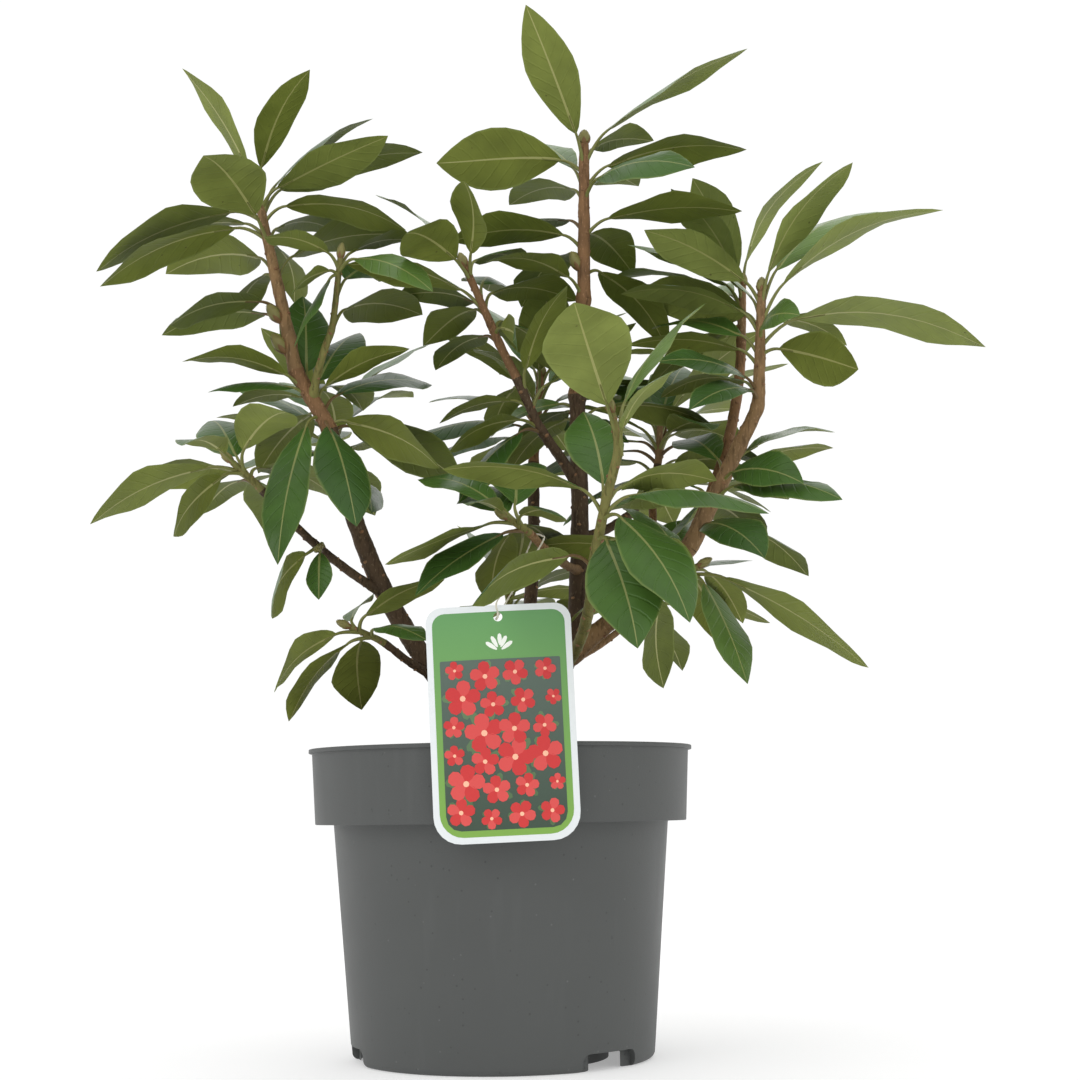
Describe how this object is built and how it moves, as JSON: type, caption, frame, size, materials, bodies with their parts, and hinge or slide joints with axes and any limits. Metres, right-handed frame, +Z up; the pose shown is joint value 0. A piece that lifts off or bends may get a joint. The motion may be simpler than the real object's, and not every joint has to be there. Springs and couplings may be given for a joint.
{
  "type": "large-leaved rhododendron shrub in a nursery pot",
  "caption": "Young broadleaf evergreen flowering shrub on open upright boughs, growing in a plain round nursery pot with a card tag hung on it by a string.",
  "frame": {"origin": "centre of the pot's flat underside", "axes": "+Z up, -Y towards the side that carries the tag, +X to the right as seen from that side"},
  "size_m": [0.5285, 0.4189, 0.6291],
  "materials": {
    "pot": "matte mid grey injection-moulded plastic with a faint speckle",
    "compost": "dark crumbly bark and peat",
    "tag": "white plastic card with a green border and a red flower pattern",
    "string": "pale thin string",
    "bark": "reddish brown young bark with leaf scars, darker and rougher towards the foot",
    "foliage": "leathery leaves, dark and glossy above, matt olive below, on green-brown stems"
  },
  "bodies": {
    "root": {"bough_back": "bark", "bough_back_left": "bark", "bough_back_low": "bark", "bough_back_right": "bark", "bough_back_side": "bark", "bough_centre": "bark", "bough_centre_foot": "bark", "bough_centre_left": "bark", "bough_centre_left_upper": "bark", "bough_centre_low": "bark", "bough_centre_upper": "bark", "bough_front": "bark", "bough_front_upper": "bark", "bough_left": "bark", "bough_left_foot": "bark", "bough_left_inner": "bark", "bough_left_low": "bark", "bough_left_sprig": "bark", "bough_left_upper": "bark", "bough_mid_back": "bark", "bough_right": "bark", "bough_right_back": "bark", "bough_right_low": "bark", "bough_right_upper": "bark", "compost": "compost", "crown_back": "foliage", "crown_back_left": "foliage", "crown_back_low": "foliage", "crown_back_right": "foliage", "crown_back_side": "foliage", "crown_centre": "foliage", "crown_centre_left": "foliage", "crown_centre_low": "foliage", "crown_front": "foliage", "crown_left": "foliage", "crown_left_foot": "foliage", "crown_left_inner": "foliage", "crown_left_low": "foliage", "crown_mid_back": "foliage", "crown_right": "foliage", "crown_right_back": "foliage", "crown_right_low": "foliage", "pot": "pot", "sprig_left": "foliage", "tag": "tag", "tag_loop": "string", "tier_centre": "foliage", "tier_centre_left": "foliage", "tier_front": "foliage", "tier_left": "foliage", "tier_right": "foliage", "trunk": "bark"}
  },
  "joints": []
}
